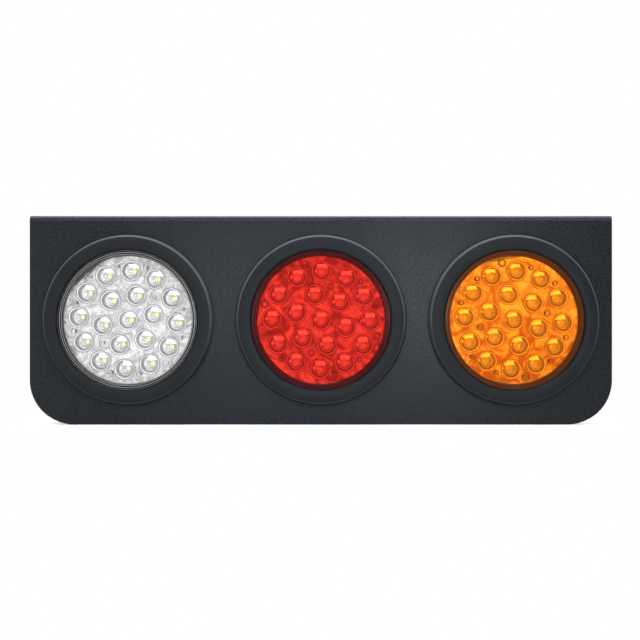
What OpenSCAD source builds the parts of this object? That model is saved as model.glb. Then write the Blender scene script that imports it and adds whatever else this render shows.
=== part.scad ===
// Rear light bar for a truck or trailer. A folded steel bracket carries three round
// sealed lamps, clear, red and amber, each held in a push-in rubber grommet.
// X runs across the vehicle, the lamps face -Y and Z is up. The origin is the centre
// of the slots in the top flange, on the flange's upper face.
// Inside a lamp, lengths run along its axis from the plate's front face: positive
// towards the viewer, negative towards the vehicle.

/* [Bracket] */
// Distance between neighbouring lamps
lamp_pitch = 152.4; // [146:0.1:200]
// From an outer lamp's centre to the bracket's end
end_margin = 77.6; // [72:0.1:120]
// Height of the front plate
bracket_h = 165; // [150:1:240]
// Depth of the top flange, from the front face to its rear edge
flange_d = 40; // [36:1:80]
// Thickness of the steel sheet
sheet_t = 2; // [1.5:0.1:3]
// Radius inside the fold
fold_r = 2; // [1:0.5:4]
// Radius of the plate's two lower corners
corner_r = 35; // [10:1:60]
// Radius of the flange's two rear corners
flange_corner_r = 8; // [2:1:14]

/* [Mounting slots] */
// Length of a slot, end to end
slot_l = 22; // [14:0.5:30]
// Width of a slot, for a 10 mm bolt
slot_w = 10.5; // [6:0.1:13]
// From the front face back to the slots' centre line
slot_setback = 22; // [18:0.5:28]
// From the bracket's end to the centre of an outer slot
slot_end_margin = 26.8; // [22:0.1:60]

/* [Grommet] */
// Thickness of rubber between the lamp's body and the edge of the plate's hole
neck_wall = 3.55; // [3.2:0.05:4.5]
// How far the foot reaches over the plate, from the hole's edge
foot_reach = 10.95; // [9:0.05:12]
// Height of the face's crest above the plate
grommet_h = 6.3; // [5.6:0.1:9]
// Radius of the crown across the face
crown_r = 34; // [24:1:80]
// How far the face's outer edge lies inside the foot
face_inset = 2; // [1.5:0.1:4]
// Thickness of the thin foot
foot_t = 0.9; // [0.5:0.1:2]
// Radius of the face's outer edge
edge_r = 0.8; // [0.4:0.1:1.2]
// Width and depth of the bevel round the lens
lip_bevel = 1.1; // [0.5:0.1:1.5]
// Thickness of rubber between the plate's face and the lamp's rim
seat_t = 0.6; // [0.4:0.1:1.2]
// How far the retaining lip behind the plate stands out from the neck
rear_lip_reach = 3.9; // [3:0.1:6]
// Thickness of the retaining lip's straight edge
rear_lip_t = 1.6; // [1:0.1:3]
// Length of the sleeve behind the plate
sleeve_l = 10.5; // [6:0.5:12]
// Clearance between the rubber and what it surrounds or fills
rubber_gap = 0.25; // [0.1:0.05:0.4]

/* [Lamp body] */
// Diameter of the lens that shows inside the grommet
lens_d = 109.2; // [102:0.1:122]
// How far the lamp's gripped rim stands out beyond the lens
rim_reach = 1.8; // [1.2:0.1:2.2]
// Thickness of the gripped rim
rim_t = 2; // [1.5:0.1:2.4]
// Height of the lens above the gripped rim
lens_step = 2; // [1.2:0.1:2.4]
// Thickness of the lens face
lens_face_t = 2.2; // [1.6:0.1:3]
// Width of the lowered border round the lens face
pad_inset = 2.6; // [1.5:0.1:3.2]
// Height of the raised middle of the lens face
pad_h = 0.5; // [0.2:0.1:0.8]
// How far the body behind the rim is narrower than the lens, each side
body_step = 1.5; // [1.2:0.1:2]
// Side wall of the lens skirt and of the housing
wall_t = 1.9; // [1.4:0.1:2.4]
// Length of the lens skirt behind the rim, down to the weld
skirt_l = 2; // [1:0.1:3]
// Thickness of the housing's back
floor_t = 2.2; // [1.6:0.1:3.5]
// Room for components between the board and the housing's back
parts_room = 5; // [4:0.1:9]
// How far the housing's back is narrower than its body, each side
back_taper = 3; // [1:0.1:4]
// Radius round the housing's back edge
back_edge_r = 1.5; // [0.5:0.1:2]
// Width of the ledge that the board rests on
ledge_w = 2.4; // [1.5:0.1:3]

/* [Optic plate] */
// Clearance between the optic plate and the wall round it
optic_gap = 0.8; // [0.4:0.1:1.5]
// Clearance between the highest optic and the lens
front_gap = 0.8; // [0.4:0.1:2]
// Thickness of the plate between the optics
optic_plate_t = 1.8; // [1.2:0.1:2.4]
// From the plate's edge in to the centres of the twelve outer optics
outer_ring_inset = 11.6; // [11:0.1:12.2]
// Distance of the six inner optics from the middle, as a share of the outer ones'
inner_ring_share = 0.528; // [0.51:0.001:0.535]
// Diameter of an optic's raised rim
optic_d = 17; // [16:0.1:18]
// Width of the raised rim's flat top
optic_land = 0.8; // [0.4:0.1:1.2]
// Height of the raised rim above the plate
optic_rim_h = 1.3; // [0.6:0.1:1.6]
// Depth of the dished floor below the rim's top
dish_depth = 0.7; // [0.3:0.1:1]
// Diameter of the domed lens in the middle of an optic
dome_d = 13.2; // [10:0.1:13.4]
// Height of the dome above the dished floor
dome_h = 1.6; // [0.8:0.1:2.2]
// Length of the reflecting cone, from the plate's face to its foot
cone_l = 9; // [8:0.1:12]
// Diameter of the cone at its foot
cone_foot_d = 8.6; // [8:0.1:10]
// Radius of the cone's curved flank
flank_r = 14; // [12:0.5:30]
// Diameter of the pocket over the light source
pocket_d = 6.6; // [6:0.1:7]
// Depth of the pocket
pocket_depth = 4.2; // [3:0.1:5]
// Bulge of the small lens at the pocket's end
pocket_bulge = 0.6; // [0.3:0.1:1.2]
// Depth of the locating flat on the plate's edge
flat_depth = 2.4; // [1.4:0.1:2.8]

/* [Pegs] */
// Diameter of the eight small pegs near the edge
small_peg_d = 4.7; // [4:0.1:5.4]
// Distance of the small pegs from the plate's edge
small_peg_inset = 6.7; // [6.4:0.1:7.2]
// Diameter of the two large pegs near the edge
large_peg_d = 7; // [6:0.1:7.6]
// Distance of the large pegs from the plate's edge
large_peg_inset = 4.4; // [4:0.1:5]
// Diameter of the two pegs inside the outer ring
mid_peg_d = 6; // [5:0.1:7]
// Distance of those two pegs from the middle, as a share of the outer optics'
mid_peg_share = 0.696; // [0.685:0.001:0.715]
// Depth of the dimple in front of a peg
dimple_depth = 1; // [0.5:0.1:1.4]
// Diameter of the stake at a peg's end
stake_d = 2.4; // [1.6:0.1:3]
// How far a stake stands out behind the board
stake_out = 0.8; // [0.4:0.1:1.5]

/* [Circuit board] */
// Thickness of the board
board_t = 1.6; // [1:0.1:2]
// Clearance between the board and the housing's wall
board_gap = 0.5; // [0.3:0.1:1]
// Clearance round a stake and between the cones' feet and the board
board_fit = 0.3; // [0.2:0.05:0.5]
// Side of a square light source
led_w = 3.4; // [2.8:0.1:3.6]
// Height of a light source's body
led_h = 0.8; // [0.5:0.1:1.2]
// Side of the bright window on a light source
led_window_w = 1.5; // [1:0.1:2.6]
// How far the window sits to one side of the body's middle
led_window_shift = 0.5; // [0:0.1:0.6]
// Height of the window above the body
led_window_h = 0.12; // [0.05:0.01:0.2]
// Length of a resistor
resistor_l = 6.4; // [5:0.1:7]
// Width of a resistor
resistor_w = 3.2; // [2:0.1:4]
// Height of a resistor
resistor_h = 0.7; // [0.5:0.1:1]
// From the board's edge in to the ring of resistors
resistor_inset = 16.2; // [15:0.1:18]
// Length of a diode
diode_l = 5; // [4:0.1:6]
// Width of a diode
diode_w = 2.6; // [2:0.1:3]
// Height of a diode
diode_h = 2.2; // [1.5:0.1:2.6]
// Distance of the diodes from the middle
diode_offset = 15; // [12:0.1:20]

/* [Socket] */
// Length of the socket's opening
socket_l = 32; // [28:0.5:36]
// Width of the socket's opening
socket_w = 19; // [16:0.5:22]
// Depth of the socket behind the housing's back
socket_depth = 13.3; // [10:0.1:18]
// Wall of the socket
socket_wall = 2.4; // [1.6:0.1:3]
// Distance between neighbouring terminal pins
pin_pitch = 8; // [6.5:0.1:9]
// Diameter of a terminal pin
pin_d = 3.2; // [2.4:0.1:3.4]
// Diameter of a pin's shank, where it passes through the housing's back
shank_d = 3.6; // [3.5:0.1:4.4]
// How far a shank stands out behind the housing's back
shank_out = 0.4; // [0.2:0.1:1]
// How far the pins end inside the socket's mouth
pin_recess = 2.5; // [1:0.1:5]
// Diameter of the collar that seats a pin
collar_d = 5.2; // [4.8:0.1:6]
// Thickness of the collar
collar_t = 1.2; // [0.8:0.1:2]
// Diameter of a pin's solder tail
tail_d = 1.4; // [1:0.1:2]
// Clearance round a shank in the housing's back
shank_gap = 0.1; // [0.05:0.05:0.2]

/* [Lamp turns] */
// Turn of the clear lamp, clockwise seen from the front, in degrees
clear_angle = 3.5; // [-180:0.1:180]
// Turn of the red lamp
red_angle = -29; // [-180:0.1:180]
// Turn of the amber lamp
amber_angle = 33.4; // [-180:0.1:180]

/* [Hidden] */

// A cut runs this far past the faces it opens
over = 1;
// Facets of a large, a middling and a small round
fine = 128;
mid = 64;
small = 32;

// Each lamp's place, in pitches from the middle, and its turn
CLEAR = [-1, clear_angle];
RED = [0, red_angle];
AMBER = [1, amber_angle];
plate_y = -slot_setback;
lamp_z = -bracket_h / 2;
bracket_w = 2 * (lamp_pitch + end_margin);
outer_slot_x = bracket_w / 2 - slot_end_margin;

// Radii of the lamp, from its lens inwards
lens_r = lens_d / 2;
rim_r = lens_r + rim_reach;
body_r = lens_r - body_step;
bore_r = body_r - wall_t;
optic_r = bore_r - optic_gap;
board_r = bore_r - board_gap;
ledge_r = board_r - ledge_w;

// Radii of the grommet that fits round the lamp, and of the plate's hole for it
lip_r = lens_r + rubber_gap;
groove_r = rim_r + rubber_gap;
sleeve_r = body_r + rubber_gap;
neck_r = sleeve_r + neck_wall;
hole_r = neck_r + rubber_gap;
foot_r = hole_r + foot_reach;
face_r = foot_r - face_inset;

// Levels along a lamp's axis, from front to back
rim_front = seat_t + rim_t;
lens_front = rim_front + lens_step;
lens_inside = lens_front - lens_face_t;
optic_crest = optic_rim_h - dish_depth + dome_h;
optic_face = lens_inside - front_gap - max(optic_crest, optic_rim_h);
skirt_end = seat_t - skirt_l;
board_face = optic_face - cone_l - board_fit;
board_back = board_face - board_t;
floor_face = board_back - parts_room;
housing_back = floor_face - floor_t;
socket_mouth = housing_back - socket_depth;

// Optics: one in the middle, six round it and twelve outside
outer_ring_r = optic_r - outer_ring_inset;
inner_ring_r = outer_ring_r * inner_ring_share;
inner_angles = [for (k = [0 : 5]) 15 + 60 * k];
outer_angles = [for (k = [0 : 11]) 30 * k];
optic_spots = concat(
    [[0, 0]],
    [for (a = inner_angles) spot(inner_ring_r, a)],
    [for (a = outer_angles) spot(outer_ring_r, a)]
);

// Pegs: place and diameter of each
small_peg_r = optic_r - small_peg_inset;
large_peg_r = optic_r - large_peg_inset;
mid_peg_r = outer_ring_r * mid_peg_share;
flat_angle = 315;
flat_y = optic_r - flat_depth;
pegs = concat(
    [for (a = [15, 75, 105, 165, 195, 255, 285, 345]) [spot(small_peg_r, a), small_peg_d]],
    [for (a = [flat_angle - 180, flat_angle]) [spot(large_peg_r, a), large_peg_d]],
    [for (a = [45, 225]) [spot(mid_peg_r, a), mid_peg_d]]
);

// A place at radius r and angle a, clockwise from the top, on a lamp's face
function spot(r, a) = [r * sin(a), r * cos(a)];

// Radius of a circle whose arc rises by h over the half width w
function arc_radius(w, h) = (w * w + h * h) / (2 * h);

// Centre of a circle of radius r through p and q, on the left of the way from p to q
function arc_centre(p, q, r) =
    let (half = (q - p) / 2, l = norm(half), side = [-half[1], half[0]] / l)
    p + half + side * sqrt(r * r - l * l);

// Stands a lamp's axis along -Y at its place in the plate
module at_lamp(lamp) {
    translate([lamp[0] * lamp_pitch, plate_y, lamp_z]) rotate([90, 0, 0]) children();
}

// The same, with the lamp turned in its grommet
module turned_at(lamp) {
    at_lamp(lamp) rotate([0, 0, -lamp[1]]) children();
}

// Oblong of length l and width w, its long axis along X
module oblong(l, w) {
    square([l - w, w], center = true);
    for (side = [-1, 1]) translate([side * (l - w) / 2, 0]) circle(w / 2, $fn = small);
}

// Sheet folded once: the section of plate, fold and flange, y across and z up
module folded_section() {
    outer_r = fold_r + sheet_t;
    difference() {
        union() {
            translate([0, -bracket_h]) square([sheet_t, bracket_h - outer_r]);
            translate([outer_r, -sheet_t]) square([flange_d - outer_r, sheet_t]);
            intersection() {
                translate([outer_r, -outer_r]) circle(outer_r, $fn = mid);
                translate([0, -outer_r]) square(outer_r);
            }
        }
        translate([outer_r, -outer_r]) circle(fold_r, $fn = mid);
    }
}

// Front view of the plate, its two lower corners rounded
module plate_outline() {
    half = bracket_w / 2;
    translate([-half, corner_r - bracket_h]) square([bracket_w, bracket_h - corner_r]);
    translate([corner_r - half, -bracket_h]) square([bracket_w - 2 * corner_r, corner_r]);
    for (side = [-1, 1]) {
        translate([side * (half - corner_r), corner_r - bracket_h]) circle(corner_r, $fn = fine);
    }
}

// Top view of the flange, its two rear corners rounded
module flange_outline() {
    half = bracket_w / 2;
    r = flange_corner_r;
    translate([-half, 0]) square([bracket_w, flange_d - r]);
    translate([r - half, 0]) square([bracket_w - 2 * r, flange_d]);
    for (side = [-1, 1]) translate([side * (half - r), flange_d - r]) circle(r, $fn = mid);
}

// Bracket of folded sheet with three lamp holes and four slots
module bracket() {
    color("#2b2e31") difference() {
        intersection() {
            translate([-bracket_w / 2, plate_y, 0])
                rotate([90, 0, 90]) linear_extrude(bracket_w) folded_section();
            translate([0, plate_y + flange_d + over, 0])
                rotate([90, 0, 0]) linear_extrude(flange_d + 2 * over) plate_outline();
            translate([0, plate_y, -bracket_h - over])
                linear_extrude(bracket_h + 2 * over) flange_outline();
        }
        for (lamp = [CLEAR, RED, AMBER]) {
            at_lamp(lamp) translate([0, 0, -sheet_t - over])
                cylinder(h = sheet_t + 2 * over, r = hole_r, $fn = fine);
        }
        for (x = [-outer_slot_x, -lamp_pitch / 2, lamp_pitch / 2, outer_slot_x]) {
            translate([x, 0, -sheet_t - over])
                linear_extrude(sheet_t + 2 * over) oblong(slot_l, slot_w);
        }
    }
}

// Grommet in section: crowned head with a drafted side and a thin foot, neck in the
// plate's hole, and a tapered lip behind
module grommet_section() {
    middle_r = (lip_r + face_r) / 2;
    crown_centre = grommet_h - crown_r;
    edge_x = face_r - edge_r;
    edge_y = crown_centre + sqrt(pow(crown_r, 2) - pow(edge_x - middle_r, 2)) - edge_r;
    side_r = foot_r - face_inset / 3;
    rear_r = neck_r + rear_lip_reach;
    lip_start = -sheet_t - rear_lip_t;
    sleeve_end = -sheet_t - sleeve_l;
    translate([edge_x, edge_y]) circle(edge_r, $fn = small);
    intersection() {
        polygon([
            [sleeve_r, sleeve_end], [neck_r - over, sleeve_end], [neck_r, sleeve_end + over],
            [rear_r, lip_start], [rear_r, -sheet_t], [neck_r, -sheet_t], [neck_r, 0],
            [foot_r, 0], [foot_r, foot_t], [side_r, foot_t], [face_r, edge_y],
            [edge_x, edge_y], [edge_x, grommet_h], [sleeve_r, grommet_h]
        ]);
        translate([middle_r, crown_centre]) circle(crown_r, $fn = 4 * fine);
    }
}

// Grommet: turned from its section, less the groove for the lamp's rim, the opening
// round the lens and the bevel at its edge
module grommet() {
    color("#1d1e20") rotate_extrude($fn = fine) difference() {
        grommet_section();
        translate([sleeve_r - over, seat_t]) square([groove_r - sleeve_r + over, rim_t]);
        translate([sleeve_r - over, rim_front - over])
            square([lip_r - sleeve_r + over, grommet_h]);
        polygon([
            [lip_r - over, grommet_h - 2 * lip_bevel], [lip_r, grommet_h - 2 * lip_bevel],
            [lip_r + 2 * lip_bevel, grommet_h + over], [lip_r - over, grommet_h + over]
        ]);
    }
}

// Outer lens in section: face with a raised middle, gripped rim and skirt
module lens_section() {
    border = lens_front - pad_h;
    square([lens_r - pad_inset, lens_front]);
    translate([0, rim_front - over]) square([lens_r, border - rim_front + over]);
    polygon([
        [lens_r - pad_inset, border], [lens_r - pad_inset + pad_h, border],
        [lens_r - pad_inset, lens_front]
    ]);
    translate([0, seat_t]) square([rim_r, rim_t]);
    translate([0, skirt_end]) square([body_r, skirt_l + over]);
}

// Outer lens: a shallow cup, welded to the housing at the skirt's end
module lens(tint) {
    color(tint, 0.6) rotate_extrude($fn = fine) difference() {
        lens_section();
        translate([0, skirt_end - over]) square([bore_r, lens_inside - skirt_end + over]);
    }
}

// One optic in section: raised rim, dished floor, domed lens, curved cone and pocket
module optic_section() {
    rim = optic_d / 2;
    dish_y = optic_rim_h - dish_depth;
    dome_r = arc_radius(dome_d / 2, dome_h);
    bulge_r = arc_radius(pocket_d / 2, pocket_bulge);
    pocket_end = pocket_depth - cone_l;
    cone_top = [rim - optic_land / 2, -optic_plate_t];
    cone_foot = [cone_foot_d / 2, -cone_l];
    difference() {
        union() {
            translate([0, -optic_plate_t]) square([rim, optic_plate_t + dish_y]);
            polygon([
                [rim, dish_y], [rim, optic_rim_h], [rim - optic_land, optic_rim_h],
                [rim - 2 * optic_land, dish_y]
            ]);
            intersection() {
                translate([0, dish_y + dome_h - dome_r]) circle(dome_r, $fn = mid);
                translate([0, dish_y]) square([dome_d / 2, dome_h]);
            }
            intersection() {
                translate(arc_centre(cone_foot, cone_top, flank_r)) circle(flank_r, $fn = fine);
                translate([0, -cone_l]) square([rim, cone_l - optic_plate_t / 2]);
            }
        }
        difference() {
            translate([0, -cone_l - over]) square([pocket_d / 2, pocket_depth + over]);
            translate([0, pocket_end - pocket_bulge + bulge_r]) circle(bulge_r, $fn = mid);
        }
    }
}

// Peg under the optic plate: a leg down to the board and a stake through it
module peg(d) {
    translate([0, 0, board_face - optic_face])
        cylinder(h = optic_face - board_face - optic_plate_t / 2, d = d, $fn = small);
    translate([0, 0, board_back - stake_out - optic_face])
        cylinder(h = board_t + stake_out + over, d = stake_d, $fn = small);
}

// Optic plate: nineteen collimating optics moulded in one disc with its pegs
module optic_plate(tint) {
    color(tint, 0.9) translate([0, 0, optic_face]) difference() {
        union() {
            intersection() {
                translate([0, 0, -optic_plate_t]) cylinder(h = optic_plate_t, r = optic_r, $fn = fine);
                rotate([0, 0, -flat_angle]) translate([-optic_r, -optic_r, -optic_plate_t])
                    cube([2 * optic_r, optic_r + flat_y, optic_plate_t]);
            }
            for (p = pegs) translate([p[0][0], p[0][1], -optic_plate_t])
                cylinder(h = optic_plate_t, d = p[1], $fn = small);
            for (p = optic_spots) translate(p) rotate_extrude($fn = mid) optic_section();
            for (p = pegs) translate(p[0]) peg(p[1]);
        }
        for (p = pegs) translate([p[0][0], p[0][1], -dimple_depth])
            cylinder(h = dimple_depth + over, d = p[1] / 2, $fn = small);
    }
}

// Light sources: nineteen square packages with a bright window, soldered to the board
module leds(window) {
    color(window) for (p = optic_spots) translate([p[0], p[1], board_face]) {
        translate([-led_w / 2, -led_w / 2, 0]) cube([led_w, led_w, led_h]);
        translate([led_window_shift - led_window_w / 2, -led_window_w / 2, 0])
            cube([led_window_w, led_window_w, led_h + led_window_h]);
    }
}

// Round board, drilled for the stakes; the clear lamp's has the optic plate's flat too
module circuit_board(flat = false) {
    color("#e9ebe6") difference() {
        translate([0, 0, board_back]) cylinder(h = board_t, r = board_r, $fn = fine);
        if (flat) rotate([0, 0, -flat_angle]) translate([-board_r, flat_y, board_back - over])
            cube([2 * board_r, board_r, board_t + 2 * over]);
        for (p = pegs) translate([p[0][0], p[0][1], board_back - over])
            cylinder(h = board_t + 2 * over, d = stake_d + 2 * board_fit, $fn = small);
    }
}

// Components behind the board: a ring of resistors and two diodes
module board_parts() {
    resistor_r = board_r - resistor_inset;
    color("#2f3133") {
        for (k = [0 : 5]) rotate([0, 0, 60 * k])
            translate([-resistor_l / 2, resistor_r - resistor_w / 2, board_back - resistor_h])
                cube([resistor_l, resistor_w, resistor_h]);
        for (side = [-1, 1])
            translate([-diode_l / 2, side * diode_offset - diode_w / 2, board_back - diode_h])
                cube([diode_l, diode_w, diode_h]);
    }
}

// Terminal pins: solder tail, collar and shank seated in the housing's back, pin outside
module terminals() {
    tip_l = pin_d / 4;
    pin_end = socket_mouth + pin_recess;
    shank_end = housing_back - shank_out;
    color("#c9a24a") for (k = [-1 : 1]) translate([k * pin_pitch, 0, 0]) {
        translate([0, 0, floor_face]) cylinder(h = parts_room, d = tail_d, $fn = small);
        translate([0, 0, floor_face]) cylinder(h = collar_t, d = collar_d, $fn = small);
        translate([0, 0, shank_end])
            cylinder(h = floor_face - shank_end + collar_t / 2, d = shank_d, $fn = small);
        translate([0, 0, pin_end + tip_l])
            cylinder(h = floor_face - pin_end - tip_l, d = pin_d, $fn = small);
        translate([0, 0, pin_end]) cylinder(h = tip_l, d1 = pin_d / 2, d2 = pin_d, $fn = small);
    }
}

// Housing in section: body, taper behind the board's ledge, rounded back edge
module housing_section() {
    back_r = body_r - back_taper;
    taper_start = board_back - over;
    difference() {
        union() {
            translate([0, taper_start]) square([body_r, skirt_end - taper_start]);
            polygon([
                [0, housing_back], [back_r - back_edge_r, housing_back],
                [back_r, housing_back + back_edge_r], [body_r, taper_start], [0, taper_start]
            ]);
            translate([back_r - back_edge_r, housing_back + back_edge_r])
                circle(back_edge_r, $fn = small);
        }
        translate([0, board_back]) square([bore_r, skirt_end - board_back + over]);
        translate([0, floor_face]) square([ledge_r, board_back - floor_face + over]);
    }
}

// Housing: round black cup with a socket standing out behind
module housing() {
    color("#17181a") difference() {
        union() {
            rotate_extrude($fn = fine) housing_section();
            translate([0, 0, socket_mouth]) linear_extrude(socket_depth + floor_t / 2)
                oblong(socket_l + 2 * socket_wall, socket_w + 2 * socket_wall);
        }
        translate([0, 0, socket_mouth - over])
            linear_extrude(socket_depth + over) oblong(socket_l, socket_w);
        for (k = [-1 : 1]) translate([k * pin_pitch, 0, housing_back - over])
            cylinder(h = floor_t + 2 * over, d = shank_d + 2 * shank_gap, $fn = small);
    }
}

bracket();

at_lamp(CLEAR) grommet();  // grommet_clear
turned_at(CLEAR) lens("#e8ecee");  // lens_clear
turned_at(CLEAR) optic_plate("#dfe2e3");  // optic_plate_clear
turned_at(CLEAR) leds("#f0dc50");  // leds_clear
turned_at(CLEAR) circuit_board(flat = true);  // circuit_board_clear
turned_at(CLEAR) board_parts();  // board_parts_clear
turned_at(CLEAR) terminals();  // terminals_clear
turned_at(CLEAR) housing();  // housing_clear

at_lamp(RED) grommet();  // grommet_red
turned_at(RED) lens("#e01e14");  // lens_red
turned_at(RED) optic_plate("#e8463a");  // optic_plate_red
turned_at(RED) leds("#ff7060");  // leds_red
turned_at(RED) circuit_board();  // circuit_board_red
turned_at(RED) board_parts();  // board_parts_red
turned_at(RED) terminals();  // terminals_red
turned_at(RED) housing();  // housing_red

at_lamp(AMBER) grommet();  // grommet_amber
turned_at(AMBER) lens("#f08a10");  // lens_amber
turned_at(AMBER) optic_plate("#f8a030");  // optic_plate_amber
turned_at(AMBER) leds("#ffc04c");  // leds_amber
turned_at(AMBER) circuit_board();  // circuit_board_amber
turned_at(AMBER) board_parts();  // board_parts_amber
turned_at(AMBER) terminals();  // terminals_amber
turned_at(AMBER) housing();  // housing_amber
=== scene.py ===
import math

import bpy
import numpy as np
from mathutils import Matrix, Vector

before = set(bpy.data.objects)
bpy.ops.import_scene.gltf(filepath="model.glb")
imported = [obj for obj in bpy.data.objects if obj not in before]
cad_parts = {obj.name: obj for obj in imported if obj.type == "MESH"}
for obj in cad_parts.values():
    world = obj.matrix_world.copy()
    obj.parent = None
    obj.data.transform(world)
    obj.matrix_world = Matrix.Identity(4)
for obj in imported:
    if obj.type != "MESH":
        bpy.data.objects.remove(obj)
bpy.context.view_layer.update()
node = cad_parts

# ---------------------------------------------------------------- the view
# The bar is seen straight from the front, level with its lamps, from under a metre away.
plate_front = -0.022
lamp_row = -0.0825
view_middle = -0.0007
view_distance = 0.9
view_width = 0.5056
film_width = 36.0
aim = Vector((view_middle, plate_front, lamp_row))

camera_data = bpy.data.cameras.new("view")
camera_data.sensor_width = film_width
camera_data.lens = film_width * view_distance / view_width
camera = bpy.data.objects.new("view", camera_data)
bpy.context.scene.collection.objects.link(camera)
camera.location = aim - Vector((0.0, view_distance, 0.0))
camera.rotation_euler = (math.pi / 2, 0.0, 0.0)
bpy.context.scene.camera = camera
bpy.context.scene.view_settings.view_transform = "Standard"


# ---------------------------------------------------------------- the studio
# A pale floor that rises behind the bar into a white wall. One wide softbox hangs above
# and in front and draws the bright crescents in the optics, one overhead lights the fold,
# one at the left lights the clear lamp's optics from the side, two slim ones behind the
# camera put the soft sheen on the plate between the lamps, and one high up behind lights
# the back.
def new_material(name):
    """An empty node material with its output, and a short way to add and wire nodes."""
    material = bpy.data.materials.new(name)
    material.use_nodes = True
    tree = material.node_tree
    tree.nodes.clear()
    output = tree.nodes.new("ShaderNodeOutputMaterial")

    def add(kind, settings=(), **inputs):
        """A node with its settings. An input is i and its number, or its name."""
        item = tree.nodes.new("ShaderNode" + kind)
        for key, value in dict(settings).items():
            setattr(item, key, value)
        for key, value in inputs.items():
            numbered = key[0] == "i" and key[1:].isdigit()
            socket = item.inputs[int(key[1:]) if numbered else key.replace("_", " ")]
            if isinstance(value, bpy.types.NodeSocket):
                tree.links.new(value, socket)
            else:
                socket.default_value = value
        return item

    def finish(shader):
        tree.links.new(shader, output.inputs["Surface"])

    return material, add, finish


def times(add, first, second):
    """Product of two numbers in a material."""
    return add("Math", {"operation": "MULTIPLY"}, i0=first, i1=second).outputs[0]


def larger(add, first, second):
    """Larger of two numbers in a material."""
    return add("Math", {"operation": "MAXIMUM"}, i0=first, i1=second).outputs[0]


def sheet_of_points(name, points):
    """A smooth mesh over a grid of points (rows by columns by 3), each cell one quad."""
    rows, cols = points.shape[:2]
    grid = np.arange(rows * cols).reshape(rows, cols)
    corners = [grid[:-1, :-1], grid[:-1, 1:], grid[1:, 1:], grid[1:, :-1]]
    quads = np.stack(corners, -1).reshape(-1, 4)
    mesh = bpy.data.meshes.new(name)
    mesh.from_pydata(points.reshape(-1, 3).tolist(), [], quads.tolist())
    mesh.polygons.foreach_set("use_smooth", np.ones(len(mesh.polygons), dtype=bool))
    mesh.update()
    piece = bpy.data.objects.new(name, mesh)
    bpy.context.scene.collection.objects.link(piece)
    return piece


def studio_sweep():
    """Floor and wall as one sheet: level ground, a quarter circle, then upright."""
    ground, front, wall, bend, top, reach = -0.1651, -0.66, 1.4, 0.5, 2.6, 3.0
    turn = np.linspace(0.0, math.pi / 2, 24)
    y = np.concatenate([[front], wall - bend + bend * np.sin(turn), [wall]])
    z = np.concatenate([[ground], ground + bend - bend * np.cos(turn), [top]])
    across, along = np.meshgrid(np.linspace(-reach, reach, 3), y)
    return np.stack([across, along, np.repeat(z[:, None], across.shape[1], 1)], -1)


sweep = sheet_of_points("studio_sweep", studio_sweep())

# Matt close to the bar, where it takes the bar's shadow, and plain white further out.
bar_reach = (0.22, 0.02, 0.0)
shadow_from, shadow_to = 0.002, 0.045
material, add, finish = new_material("studio_white")
paths = add("LightPath").outputs
seen = larger(add, paths["Is Camera Ray"], paths["Is Glossy Ray"])
seen = larger(add, seen, paths["Is Transmission Ray"])
place = add("TexCoord").outputs["Object"]
level = add("VectorMath", {"operation": "MULTIPLY"}, i0=place, i1=(1.0, 1.0, 0.0))
aside = add("VectorMath", {"operation": "ABSOLUTE"}, i0=level.outputs[0])
past = add("VectorMath", {"operation": "SUBTRACT"}, i0=aside.outputs[0], i1=bar_reach)
past = add("VectorMath", {"operation": "MAXIMUM"}, i0=past.outputs[0], i1=(0.0, 0.0, 0.0))
away = add("VectorMath", {"operation": "LENGTH"}, i0=past.outputs[0]).outputs["Value"]
far = add("MapRange", {"interpolation_type": "SMOOTHSTEP"},
          Value=away, From_Min=shadow_from, From_Max=shadow_to)
matt = add("BsdfDiffuse", Color=(0.93, 0.93, 0.93, 1.0))
white = add("Emission", Color=(1.0, 1.0, 1.0, 1.0), Strength=1.0)
share = times(add, seen, far.outputs[0])
finish(add("MixShader", Fac=share, i1=matt.outputs[0], i2=white.outputs[0]).outputs[0])
sweep.data.materials.append(material)

# The room is white where it is seen, straight or through glass, and lights the bar dimly.
room_light = 0.2
world = bpy.data.worlds.new("studio")
bpy.context.scene.world = world
world.use_nodes = True
background = world.node_tree.nodes["Background"]
background.inputs["Color"].default_value = (1.0, 1.0, 1.0, 1.0)
paths = world.node_tree.nodes.new("ShaderNodeLightPath")
seen = world.node_tree.nodes.new("ShaderNodeMath")
seen.operation = "MAXIMUM"
glow = world.node_tree.nodes.new("ShaderNodeMapRange")
glow.inputs["To Min"].default_value = room_light
world.node_tree.links.new(paths.outputs["Is Camera Ray"], seen.inputs[0])
world.node_tree.links.new(paths.outputs["Is Transmission Ray"], seen.inputs[1])
world.node_tree.links.new(seen.outputs[0], glow.inputs["Value"])
world.node_tree.links.new(glow.outputs[0], background.inputs["Strength"])


def soft_light(name, place, width, height, radiance):
    """A rectangular lamp aimed at the bar. Its power is its area times pi times its radiance."""
    data = bpy.data.lights.new(name, "AREA")
    data.shape = "RECTANGLE"
    data.size, data.size_y = width, height
    data.energy = math.pi * width * height * radiance
    lamp = bpy.data.objects.new(name, data)
    bpy.context.scene.collection.objects.link(lamp)
    lamp.location = place
    lamp.rotation_mode = "QUATERNION"
    lamp.rotation_quaternion = (aim - Vector(place)).to_track_quat("-Z", "Y")


soft_light("softbox", (0.06, -0.84, 0.50), 1.15, 0.46, 7.6)
soft_light("overhead", (0.0, 0.06, 1.05), 1.2, 0.5, 12.0)
soft_light("side_light", (-0.60, -0.80, -0.03), 0.22, 0.26, 5.0)
soft_light("right_sheen", (0.190, -1.35, -0.03), 0.07, 0.12, 96.0)
soft_light("left_sheen", (-0.190, -1.35, -0.03), 0.07, 0.12, 54.0)
soft_light("back_light", (0.0, 1.10, 0.95), 1.0, 0.5, 4.0)


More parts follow.
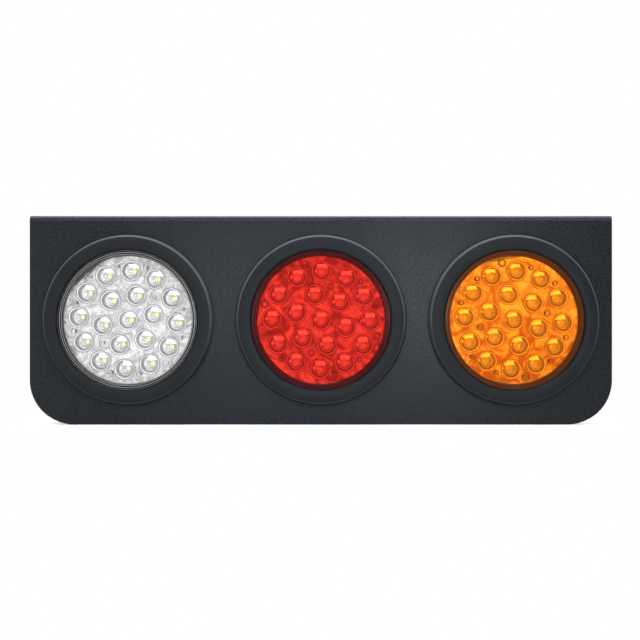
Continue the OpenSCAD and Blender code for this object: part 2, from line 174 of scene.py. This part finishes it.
# ---------------------------------------------------------------- the bracket
# Folded mild steel sheet, powder coated black. The coat is fine and matt, with a sandy
# grain and a light orange-peel.
def ramp(add, value, start, end, low=0.0, high=1.0):
    """Low up to start, high past end, and a straight line between the two."""
    return add("MapRange", Value=value,
               From_Min=start, From_Max=end, To_Min=low, To_Max=high).outputs[0]


def spread(add, noise, low, high, crest=0.7):
    """A noise, which runs from about 0.3 to its crest, stretched to run from low to high."""
    return ramp(add, noise.outputs["Fac"], 0.3, crest, low, high)


def shaded(add, colour, tone):
    """A colour made lighter or darker by a tone."""
    return add("VectorMath", {"operation": "SCALE"}, i0=colour, Scale=tone).outputs[0]


material, add, finish = new_material("powder_coat_black")
place = add("TexCoord").outputs["Object"]
grain = add("TexNoise", Vector=place, Scale=1050.0, Detail=2.0, Roughness=0.6)
peel = add("TexNoise", Vector=place, Scale=420.0, Detail=2.0, Roughness=0.5)
cloud = add("TexNoise", Vector=place, Scale=22.0, Detail=3.0, Roughness=0.55)
tone = times(add, spread(add, grain, 0.3, 2.0), spread(add, cloud, 0.94, 1.06))
low = add("Bump", Strength=0.5, Distance=0.00005, Height=peel.outputs["Fac"])
fine = add("Bump", Strength=0.8, Distance=0.00009, Height=grain.outputs["Fac"], Normal=low.outputs[0])
coat = add(
    "BsdfPrincipled",
    Base_Color=shaded(add, (0.0060, 0.0068, 0.0084), tone),
    Roughness=spread(add, grain, 0.17, 0.41),
    Normal=fine.outputs[0],
    Specular_IOR_Level=0.15,
    Specular_Tint=(0.84, 0.94, 1.0, 1.0),
)
finish(coat.outputs[0])
node["bracket"].material_slots[0].material = material


# ---------------------------------------------------------------- the grommets
# Moulded black rubber rings. The surface is satin, with faint rings from the mould's
# turned face and a pale bloom where the wax has come to the surface. Their outer edge carries
# a painted highlight: a pale band painted on, strongest along the top, where light from above catches
# it.
lamp_pitch = 0.1524
hues = ("clear", "red", "amber")


def from_lamp(add, hue):
    """Place measured from the middle of a lamp, and the distance from its axis."""
    middle = (hues.index(hue) - 1) * lamp_pitch
    place = add("Mapping", {"vector_type": "POINT"},
                Vector=add("TexCoord").outputs["Object"], Location=(-middle, 0.0, -lamp_row))
    flat = add("VectorMath", {"operation": "MULTIPLY"}, i0=place.outputs[0], i1=(1.0, 0.0, 1.0))
    radius = add("VectorMath", {"operation": "LENGTH"}, i0=flat.outputs[0])
    return place.outputs[0], radius.outputs["Value"]


bloom_crest = 0.75
# How far the painted highlight on the outer edge lightens the rubber.
edge_highlight_gain = 8.0
for hue in hues:
    material, add, finish = new_material("rubber_" + hue)
    place, radius = from_lamp(add, hue)
    rings = add("TexNoise", {"noise_dimensions": "1D"}, W=radius, Scale=1400.0, Detail=2.0)
    bloom = add("TexNoise", Vector=place, Scale=60.0, Detail=4.0, Roughness=0.6)
    pores = add("TexNoise", Vector=place, Scale=2600.0, Detail=1.0)
    # Painted highlight: a band round the outer edge, weighted towards the top, made paler to stand in
    # for light from above.
    inside_edge = ramp(add, radius, 0.0650, 0.0657)
    outside_edge = ramp(add, radius, 0.0674, 0.0668)
    highlight_top_weight = ramp(add, add("SeparateXYZ", Vector=place).outputs["Z"], -0.03, 0.03, low=0.2)
    painted_edge_highlight = times(add, times(add, inside_edge, outside_edge), highlight_top_weight)
    tone = add("Math", {"operation": "MULTIPLY_ADD"},
               i0=painted_edge_highlight, i1=edge_highlight_gain, i2=spread(add, bloom, 0.85, 1.3, bloom_crest))
    low = add("Bump", Strength=0.3, Distance=0.00005, Height=rings.outputs["Fac"])
    fine = add("Bump", Strength=0.4, Distance=0.00002,
               Height=pores.outputs["Fac"], Normal=low.outputs[0])
    rubber = add(
        "BsdfPrincipled",
        Base_Color=shaded(add, (0.0074, 0.0081, 0.0096), tone.outputs[0]),
        Roughness=spread(add, bloom, 0.34, 0.46, bloom_crest),
        Normal=fine.outputs[0],
        Specular_IOR_Level=0.10,
        Specular_Tint=(0.86, 0.95, 1.0, 1.0),
    )
    finish(rubber.outputs[0])
    node["grommet_" + hue].material_slots[0].material = material


# ---------------------------------------------------------------- the housings
# Injection-moulded black plastic cups with a spark-eroded grain.
material, add, finish = new_material("housing_black")
place = add("TexCoord").outputs["Object"]
grain = add("TexNoise", Vector=place, Scale=1800.0, Detail=2.0)
flow = add("TexNoise", Vector=place, Scale=35.0, Detail=2.0)
fine = add("Bump", Strength=0.5, Distance=0.00003, Height=grain.outputs["Fac"])
shell = add(
    "BsdfPrincipled",
    Base_Color=shaded(add, (0.013, 0.013, 0.014), spread(add, grain, 0.8, 1.25)),
    Roughness=spread(add, flow, 0.34, 0.48),
    Normal=fine.outputs[0],
)
finish(shell.outputs[0])
for hue in hues:
    node["housing_" + hue].material_slots[0].material = material


# ---------------------------------------------------------------- the circuit boards
# White solder mask over glass-fibre board, with the weave faintly printed through.
for hue, whiteness in (("clear", 0.5), ("red", 0.54), ("amber", 0.62)):
    material, add, finish = new_material("board_white_" + hue)
    place = add("TexCoord").outputs["Object"]
    weave = add("TexWave", {"wave_type": "BANDS", "bands_direction": "DIAGONAL"},
                Vector=place, Scale=900.0, Distortion=0.5)
    stain = add("TexNoise", Vector=place, Scale=90.0, Detail=3.0)
    tone = spread(add, stain, whiteness * 0.9, whiteness * 1.08)
    fine = add("Bump", Strength=0.2, Distance=0.00002, Height=weave.outputs["Fac"])
    mask = add(
        "BsdfPrincipled",
        Base_Color=shaded(add, (1.0, 1.01, 1.0), tone),
        Roughness=0.42,
        Normal=fine.outputs[0],
    )
    finish(mask.outputs[0])
    node["circuit_board_" + hue].material_slots[0].material = material


# ---------------------------------------------------------------- the board's components
# Black moulded resistors and diodes behind the board.
material, add, finish = new_material("component_black")
place = add("TexCoord").outputs["Object"]
grain = add("TexNoise", Vector=place, Scale=3000.0, Detail=2.0)
fine = add("Bump", Strength=0.4, Distance=0.00002, Height=grain.outputs["Fac"])
resin = add(
    "BsdfPrincipled",
    Base_Color=shaded(add, (0.028, 0.028, 0.03), spread(add, grain, 0.75, 1.3)),
    Roughness=0.5,
    Normal=fine.outputs[0],
)
finish(resin.outputs[0])
for hue in hues:
    node["board_parts_" + hue].material_slots[0].material = material


# ---------------------------------------------------------------- the terminals
# Turned brass pins, slightly tarnished, with fine tool marks round them.
material, add, finish = new_material("brass")
place = add("TexCoord").outputs["Object"]
drawn_out = add("Mapping", Vector=place, Scale=(200.0, 9000.0, 200.0))
marks = add("TexNoise", Vector=drawn_out.outputs[0], Scale=1.0, Detail=2.0)
stain = add("TexNoise", Vector=place, Scale=400.0, Detail=3.0)
fine = add("Bump", Strength=0.3, Distance=0.00001, Height=marks.outputs["Fac"])
pin = add(
    "BsdfPrincipled",
    Base_Color=shaded(add, (0.80, 0.58, 0.25), spread(add, stain, 0.75, 1.05)),
    Metallic=1.0,
    Roughness=spread(add, stain, 0.2, 0.36),
    Normal=fine.outputs[0],
)
finish(pin.outputs[0])
for hue in hues:
    node["terminals_" + hue].material_slots[0].material = material


# ---------------------------------------------------------------- the light sources
# White moulded packages. The clear lamp's have a window of yellow phosphor, the others
# a window of clear resin over a pale cup. The window stands a little proud of its package.
board_face = plate_front + 0.0099
package_height = 0.0008
window_rise = 0.00012
window_level = board_face - package_height - window_rise / 2
source_finish = {
    "clear": dict(window=(0.88, 0.78, 0.05), body=0.36),
    "red": dict(window=(0.85, 0.80, 0.75), body=0.8),
    "amber": dict(window=(0.85, 0.80, 0.70), body=0.8),
}
for hue, look in source_finish.items():
    material, add, finish = new_material("leds_" + hue)
    place = add("TexCoord").outputs["Object"]
    depth = add("SeparateXYZ", Vector=place).outputs["Y"]
    on_window = add("Math", {"operation": "LESS_THAN"}, i0=depth, i1=window_level)
    specks = add("TexNoise", Vector=place, Scale=3500.0, Detail=2.0)
    window = shaded(add, look["window"], spread(add, specks, 0.9, 1.08))
    body = (look["body"], look["body"], look["body"] * 1.02, 1.0)
    colour = add("Mix", {"data_type": "RGBA"}, i0=on_window.outputs[0], i6=body, i7=window)
    finish(add("BsdfPrincipled", Base_Color=colour.outputs[2], Roughness=0.4).outputs[0])
    node["leds_" + hue].material_slots[0].material = material


# ---------------------------------------------------------------- the optic plates
# Clear acrylic, moulded in one piece: polished optics, a lightly frosted web between them
# with the moulding's flow marks in it, and dimples with frosted floors over the pegs.
# A face is known by its depth, and on the round optics by how far it tilts.
acrylic_ior = 1.49
web_front = plate_front + 0.0006
web_back = web_front + 0.0018
dimple_floor = web_front + 0.0010
rim_top = web_front - 0.0013
dish_floor = web_front - 0.0006
above_dish = dish_floor - 0.00003
cone_start = web_back + 0.0001
front_limit = web_front + 0.0006
level_slack = 0.00005


def at_level(add, depth, level):
    """One where a face lies at a level, and nought elsewhere."""
    return add("Math", {"operation": "COMPARE"}, i0=depth, i1=level, i2=level_slack).outputs[0]


def see_through(add, finish, glass, through):
    """What the eye sees is glass; lamp light on its way to a surface behind passes straight on."""
    paths = add("LightPath").outputs
    straight = larger(add, paths["Is Shadow Ray"], paths["Is Diffuse Ray"])
    finish(add("MixShader", Fac=straight, i1=glass.outputs[0], i2=through.outputs[0]).outputs[0])


# web and skirt are how matt the web and the ring at each dome's foot are, cone how much light
# the cones pass, shine how strongly the domes mirror, painted_fall how much paler the top is painted
# than the bottom, flow how fine the flow marks are, and deep and pale the frost's two colours.
# The ring at each dome's foot is painted dark, as painted shade for the dark reflection round each
# dome, and the change from bottom to top is a painted gradient of light and shade, darker at the top
# where it is negative.
optic_finish = {
    "clear": dict(web=0.6, cone=0.95, shine=0.22, skirt=0.5, painted_fall=-0.1, flow=90.0,
                  deep=(0.20, 0.193, 0.215), pale=(0.68, 0.68, 0.655)),
    "red": dict(web=0.9, cone=0.66, shine=0.32, skirt=0.8, painted_fall=-0.1, flow=50.0,
                deep=(0.22, 0.11, 0.15), pale=(0.76, 0.86, 0.90)),
    "amber": dict(web=0.95, cone=0.66, shine=0.32, skirt=0.8, painted_fall=0.3, flow=50.0,
                  deep=(0.38, 0.16, 0.10), pale=(0.96, 1.0, 1.0)),
}
for hue, look in optic_finish.items():
    material, add, finish = new_material("optic_plate_" + hue)
    place = add("TexCoord").outputs["Object"]
    parts = add("SeparateXYZ", Vector=place)
    depth = parts.outputs["Y"]
    normal = add("SeparateXYZ", Vector=add("NewGeometry").outputs["Normal"])
    tilt = add("Math", {"operation": "ABSOLUTE"}, i0=normal.outputs["Y"]).outputs[0]
    on_web = at_level(add, depth, web_back)
    on_dimple = at_level(add, depth, dimple_floor)
    on_rim = at_level(add, depth, rim_top)
    on_cone = add("Math", {"operation": "GREATER_THAN"}, i0=depth, i1=cone_start).outputs[0]
    on_front = add("Math", {"operation": "LESS_THAN"}, i0=depth, i1=front_limit).outputs[0]
    raised = add("Math", {"operation": "LESS_THAN"}, i0=depth, i1=above_dish).outputs[0]
    on_slope = times(add, raised, ramp(add, tilt, 0.84, 0.80))
    upright = add("Math", {"operation": "LESS_THAN"}, i0=tilt, i1=0.03).outputs[0]
    on_peg = times(add, upright, on_cone)
    # The ring at each dome's foot, where painted shade stands in for a dark reflection.
    on_skirt = times(add, ramp(add, tilt, 0.936, 0.926), ramp(add, tilt, 0.86, 0.88))
    on_skirt = times(add, on_skirt, raised)
    on_dome = ramp(add, tilt, 0.979, 0.974, high=look["shine"])

    # How matt each face is, from 0 for polished to 1 for fully frosted.
    swirl = add("TexNoise", Vector=place, Scale=160.0, Detail=3.0, Roughness=0.6, Distortion=2.2)
    frost = times(add, times(add, on_web, spread(add, swirl, 0.65, 1.35)), look["web"])
    matt_faces = ((on_dimple, 0.9), (on_slope, 0.9), (on_rim, 0.6), (on_peg, 0.8),
                  (on_skirt, look["skirt"]))
    for face, amount in matt_faces:
        frost = add("Math", {"operation": "MULTIPLY_ADD"}, i0=face, i1=amount, i2=frost).outputs[0]

    # The frost's colour: flow marks; a painted gradient of light and shade from bottom to top;
    # pale slopes, a painted highlight; dark rim tops, a painted dark outline; darkest on the ring
    # at each dome's foot, painted shade for its dark reflection.
    flow = add("TexNoise", Vector=place,
               Scale=look["flow"], Detail=2.0, Roughness=0.5, Distortion=2.4)
    # Painted light and shade: the frost's paleness changes from bottom to top by painted_fall.
    height = add("MapRange", {"clamp": False}, Value=parts.outputs["Z"],
                 From_Min=-0.135, From_Max=-0.030, To_Min=-look["painted_fall"], To_Max=look["painted_fall"])
    patch = add("MapRange", {"clamp": False}, Value=flow.outputs["Fac"],
                From_Min=0.36, From_Max=0.68)
    paleness = add("Math", {"operation": "ADD", "use_clamp": True},
                   i0=height.outputs[0], i1=patch.outputs[0])
    # Painted highlight: the rim's slopes are made pale to stand in for the bright ring they catch.
    paleness = larger(add, paleness.outputs[0], on_slope)
    # Painted shade: the rim tops are made dark to stand in for the dark outline round each optic.
    paleness = add("Math", {"operation": "SUBTRACT", "use_clamp": True}, i0=paleness, i1=on_rim)
    tone = add("Mix", {"data_type": "RGBA"}, i0=paleness.outputs[0],
               i6=(*look["deep"], 1.0), i7=(*look["pale"], 1.0))
    # Painted shade: the ring at each dome's foot takes a quarter of the deep colour, standing in for
    # the dark reflection there.
    skirt_colour = tuple(0.25 * part for part in look["deep"]) + (1.0,)
    tone = add("Mix", {"data_type": "RGBA"}, i0=on_skirt, i6=tone.outputs[2], i7=skirt_colour)

    passing = (look["cone"], look["cone"], look["cone"], 1.0)
    dim = add("Mix", {"data_type": "RGBA"}, i0=on_cone, i6=(0.985, 0.985, 0.985, 1.0), i7=passing)
    glass = add("BsdfGlass", Color=(0.985, 0.985, 0.985, 1.0), Roughness=0.0, IOR=acrylic_ior)
    matt = add("BsdfDiffuse", Color=tone.outputs[2])
    mirror = add("BsdfGlossy", Color=(1.0, 1.0, 1.0, 1.0), Roughness=0.11)
    body = add("MixShader", Fac=frost, i1=glass.outputs[0], i2=matt.outputs[0])
    body = add("MixShader", Fac=times(add, on_dome, on_front),
               i1=body.outputs[0], i2=mirror.outputs[0])
    see_through(add, finish, body, add("BsdfTransparent", Color=dim.outputs[2]))
    node["optic_plate_" + hue].material_slots[0].material = material


# ---------------------------------------------------------------- the lenses
# Polycarbonate cups, dyed through and polished. The border is welded to the black housing
# behind it and shows dark, and keeps the fine turned rings of its mould. Their pale lines are
# painted on, as a painted highlight for the glints of those rings, which shows best on the clear one.
polycarbonate_ior = 1.585
ring_pitch = 0.0016
border_from, border_to = 0.0508, 0.0512
border_roughness = 0.10

# share is how much of the border is matt, and valley and crest are its rings' two colours; the pale
# crest is a painted highlight.
lens_finish = {
    "clear": dict(tint=(0.96, 0.963, 0.965), share=0.8,
                  valley=(0.008, 0.008, 0.009), crest=(0.17, 0.17, 0.17)),
    "red": dict(tint=(0.955, 0.42, 0.37), share=0.92,
                valley=(0.030, 0.006, 0.007), crest=(0.046, 0.008, 0.009)),
    "amber": dict(tint=(0.99, 0.71, 0.33), share=0.92,
                  valley=(0.050, 0.015, 0.006), crest=(0.075, 0.020, 0.007)),
}
for hue, look in lens_finish.items():
    material, add, finish = new_material("lens_" + hue)
    place, radius = from_lamp(add, hue)
    turn = times(add, radius, 2.0 * math.pi / ring_pitch)
    wave = add("Math", {"operation": "SINE"}, i0=turn).outputs[0]
    on_border = ramp(add, radius, border_from, border_to)
    # Painted highlight: pale crest lines on the dark border stand in for glints off its turned rings.
    rings_with_painted_glints = add("Mix", {"data_type": "RGBA"}, i0=ramp(add, wave, 0.1, 0.8),
                 i6=(*look["valley"], 1.0), i7=(*look["crest"], 1.0))
    glass = add("BsdfGlass", Color=(*look["tint"], 1.0),
                Roughness=times(add, on_border, border_roughness), IOR=polycarbonate_ior)
    matt = add("BsdfDiffuse", Color=rings_with_painted_glints.outputs[2])
    body = add("MixShader", Fac=times(add, on_border, look["share"]),
               i1=glass.outputs[0], i2=matt.outputs[0])
    see_through(add, finish, body, add("BsdfTransparent", Color=(*look["tint"], 1.0)))
    node["lens_" + hue].material_slots[0].material = material
